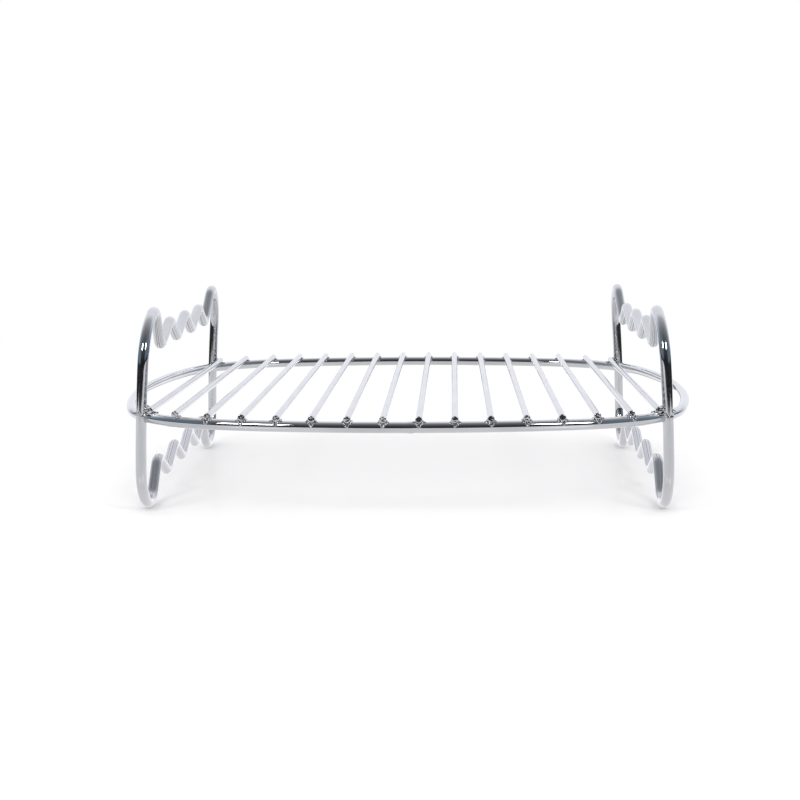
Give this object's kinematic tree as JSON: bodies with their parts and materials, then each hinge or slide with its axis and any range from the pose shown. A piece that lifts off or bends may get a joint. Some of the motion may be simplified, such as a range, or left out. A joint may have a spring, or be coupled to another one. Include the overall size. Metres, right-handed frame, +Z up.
{
  "type": "cooling rack",
  "caption": "Welded round-wire rack: a rounded-square rim with parallel crossbars, raised by two upright side frames whose waved top and bottom runs form feet and skewer notches.",
  "frame": {"origin": "centre of the rim's footprint, on the surface that the feet stand on", "axes": "+Z up; +X from the left side frame to the right one; +Y from the front to the rear, along the crossbars"},
  "size_m": [0.1966, 0.1966, 0.0654],
  "materials": {
    "rim_wire": "bright polished, faint drawing lines and handling haze",
    "frame_wire": "bright polished, faint drawing lines, a little duller on the outside of each bend",
    "crossbar_wire": "bright polished, ends sheared square and left plain",
    "weld_metal": "uneven electropolished weld metal, slightly matt"
  },
  "bodies": {
    "root": {"rim_ring": "rim_wire", "left_side_frame": "frame_wire", "right_side_frame": "frame_wire", "crossbar_01": "crossbar_wire", "crossbar_02": "crossbar_wire", "crossbar_03": "crossbar_wire", "crossbar_04": "crossbar_wire", "crossbar_05": "crossbar_wire", "crossbar_06": "crossbar_wire", "crossbar_07": "crossbar_wire", "crossbar_08": "crossbar_wire", "crossbar_09": "crossbar_wire", "crossbar_10": "crossbar_wire", "crossbar_11": "crossbar_wire", "crossbar_12": "crossbar_wire", "crossbar_13": "crossbar_wire", "crossbar_14": "crossbar_wire", "crossbar_15": "crossbar_wire", "crossbar_16": "crossbar_wire", "corner_welds": "weld_metal", "front_bar_welds": "weld_metal", "rear_bar_welds": "weld_metal"}
  },
  "joints": []
}
